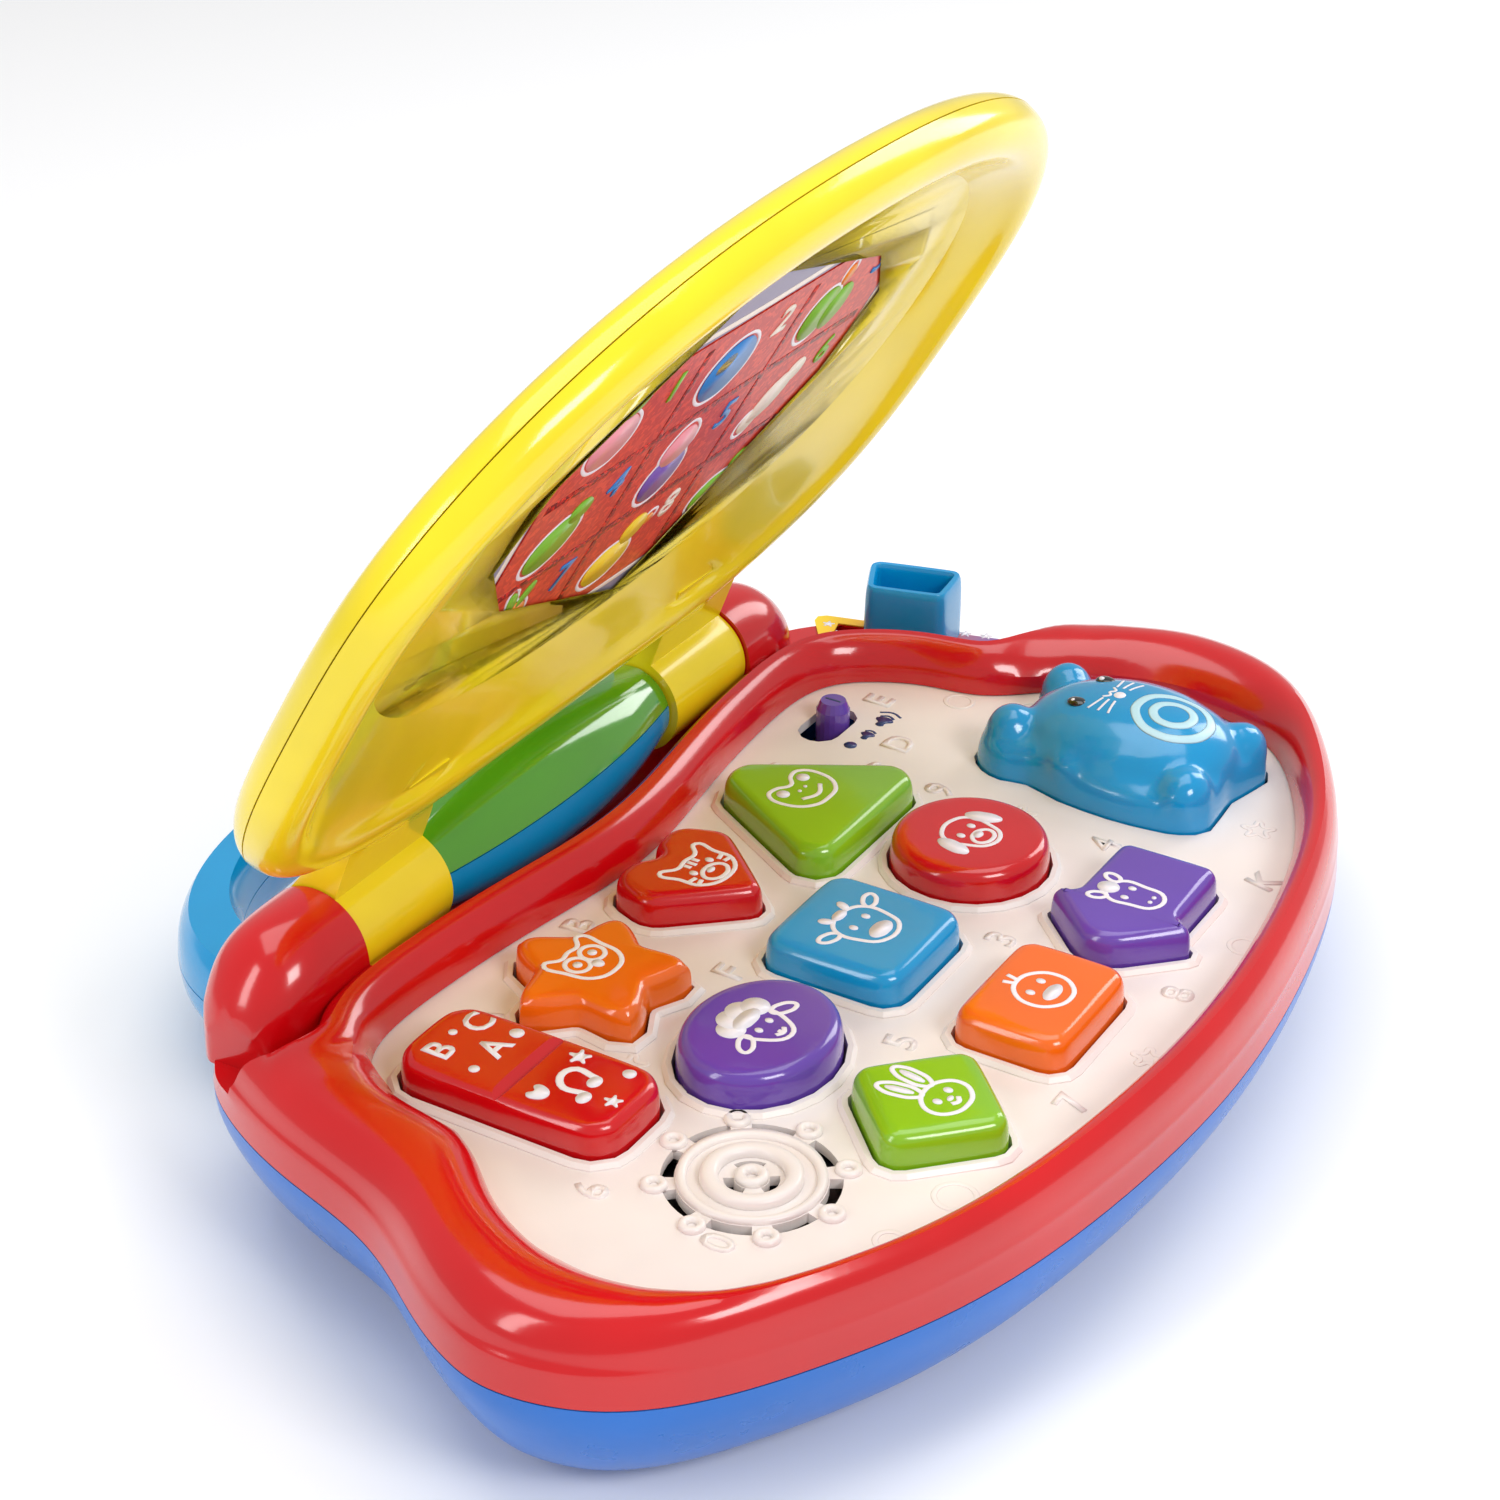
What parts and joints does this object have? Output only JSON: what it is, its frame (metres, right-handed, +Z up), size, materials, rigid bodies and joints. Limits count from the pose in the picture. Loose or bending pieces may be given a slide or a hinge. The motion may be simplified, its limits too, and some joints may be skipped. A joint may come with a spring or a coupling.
{
  "type": "toy laptop computer",
  "caption": "Toddler's toy laptop: lobed battery base with shape keys, rocker, mouse, sliding tube and carry handle, and an oval lid with a picture screen on a rear hinge.",
  "frame": {"origin": "middle of the flat underside of the base, on the surface the toy stands on", "axes": "+X to the user's right along the hinge, +Y from the user towards the hinge and handle, +Z up; the lid is stored standing open"},
  "size_m": [0.3082, 0.237, 0.2067],
  "materials": {
    "red_abs": "glossy injection-moulded ABS",
    "blue_abs": "glossy injection-moulded ABS",
    "sky_abs": "glossy injection-moulded ABS",
    "yellow_abs": "glossy injection-moulded ABS",
    "cream_abs": "satin moulded ABS with faint raised shapes",
    "green_abs": "glossy injection-moulded ABS",
    "orange_abs": "glossy injection-moulded ABS",
    "purple_abs": "glossy injection-moulded ABS",
    "green_clear": "translucent glossy polystyrene",
    "red_clear": "translucent printed acrylic window",
    "printed_film": "printed polycarbonate film",
    "printed_label": "printed vinyl label",
    "black_plastic": "moulded black nylon",
    "circuit_board": "glass-epoxy board with solder mask",
    "grey_rubber": "moulded silicone",
    "battery_wrap": "printed shrink wrap",
    "steel": "bright zinc-plated steel"
  },
  "bodies": {
    "base": {"base_bottom_shell": "blue_abs", "base_top_shell": "red_abs", "keyboard_plate": "cream_abs", "aa_battery_1": "battery_wrap", "aa_battery_2": "battery_wrap", "battery_contact_1": "steel", "battery_contact_2": "steel", "battery_door": "blue_abs", "battery_door_screw": "steel", "case_screw_1": "steel", "case_screw_2": "steel", "case_screw_3": "steel", "case_screw_4": "steel", "handle_lower_half": "sky_abs", "handle_upper_half": "sky_abs", "hinge_pin_left": "steel", "hinge_pin_right": "steel", "keypad_membrane": "grey_rubber", "main_circuit_board": "circuit_board", "slider_label": "printed_label", "speaker_unit": "black_plastic", "volume_switch_body": "black_plastic"},
    "lid": {"lid_front_shell": "yellow_abs", "lid_back_shell": "yellow_abs", "screen_print_sheet": "printed_film", "screen_lens": "red_clear", "screen_light_board": "circuit_board"},
    "roller": {"roller_green_half": "green_clear", "roller_blue_half": "sky_abs"},
    "rocker": {"rocker_button": "red_abs"},
    "mouse": {"mouse_button": "sky_abs"},
    "volume_knob": {"volume_knob": "purple_abs"},
    "side_slider": {"side_slider": "sky_abs"},
    "key_star_owl": {"button_star_owl": "orange_abs"},
    "key_heart_cat": {"button_heart_cat": "red_abs"},
    "key_triangle_frog": {"button_triangle_frog": "green_abs"},
    "key_oval_sheep": {"button_oval_sheep": "purple_abs"},
    "key_square_cow": {"button_square_cow": "sky_abs"},
    "key_circle_dog": {"button_circle_dog": "red_abs"},
    "key_diamond_rabbit": {"button_diamond_rabbit": "green_abs"},
    "key_rectangle_duck": {"button_rectangle_duck": "orange_abs"},
    "key_arrow_horse": {"button_arrow_horse": "purple_abs"}
  },
  "joints": [
    {"name": "lid_hinge", "type": "hinge", "parent": "base", "child": "lid", "pos_m": [0, 0.077, 0.046], "axis": [-1, 0, 0], "range_deg": [-60, 38]},
    {"name": "roller_spin", "type": "hinge", "parent": "base", "child": "roller", "pos_m": [0, 0.077, 0.046], "axis": [1, 0, 0], "continuous": true},
    {"name": "rocker_tilt", "type": "hinge", "parent": "base", "child": "rocker", "pos_m": [-0.0855, 0.0185, 0.0345], "axis": [1, 0, 0], "range_deg": [-3, 3], "stiffness_Nm_per_rad": 0.6},
    {"name": "mouse_press", "type": "slide", "parent": "base", "child": "mouse", "axis": [0, 0, -1], "range_m": [0, 0.002], "stiffness_N_per_m": 900},
    {"name": "volume_slide", "type": "slide", "parent": "base", "child": "volume_knob", "axis": [1, 0, 0], "range_m": [-0.0068, 0.002]},
    {"name": "side_slider_slide", "type": "slide", "parent": "base", "child": "side_slider", "axis": [0.27, -0.9629, 0], "range_m": [-0.012, 0.012]},
    {"name": "key_star_owl_press", "type": "slide", "parent": "base", "child": "key_star_owl", "axis": [0, 0, -1], "range_m": [0, 0.0025], "stiffness_N_per_m": 600},
    {"name": "key_heart_cat_press", "type": "slide", "parent": "base", "child": "key_heart_cat", "axis": [0, 0, -1], "range_m": [0, 0.0025], "stiffness_N_per_m": 600},
    {"name": "key_triangle_frog_press", "type": "slide", "parent": "base", "child": "key_triangle_frog", "axis": [0, 0, -1], "range_m": [0, 0.0025], "stiffness_N_per_m": 600},
    {"name": "key_oval_sheep_press", "type": "slide", "parent": "base", "child": "key_oval_sheep", "axis": [0, 0, -1], "range_m": [0, 0.0025], "stiffness_N_per_m": 600},
    {"name": "key_square_cow_press", "type": "slide", "parent": "base", "child": "key_square_cow", "axis": [0, 0, -1], "range_m": [0, 0.0025], "stiffness_N_per_m": 600},
    {"name": "key_circle_dog_press", "type": "slide", "parent": "base", "child": "key_circle_dog", "axis": [0, 0, -1], "range_m": [0, 0.0025], "stiffness_N_per_m": 600},
    {"name": "key_diamond_rabbit_press", "type": "slide", "parent": "base", "child": "key_diamond_rabbit", "axis": [0, 0, -1], "range_m": [0, 0.0025], "stiffness_N_per_m": 600},
    {"name": "key_rectangle_duck_press", "type": "slide", "parent": "base", "child": "key_rectangle_duck", "axis": [0, 0, -1], "range_m": [0, 0.0025], "stiffness_N_per_m": 600},
    {"name": "key_arrow_horse_press", "type": "slide", "parent": "base", "child": "key_arrow_horse", "axis": [0, 0, -1], "range_m": [0, 0.0025], "stiffness_N_per_m": 600}
  ]
}
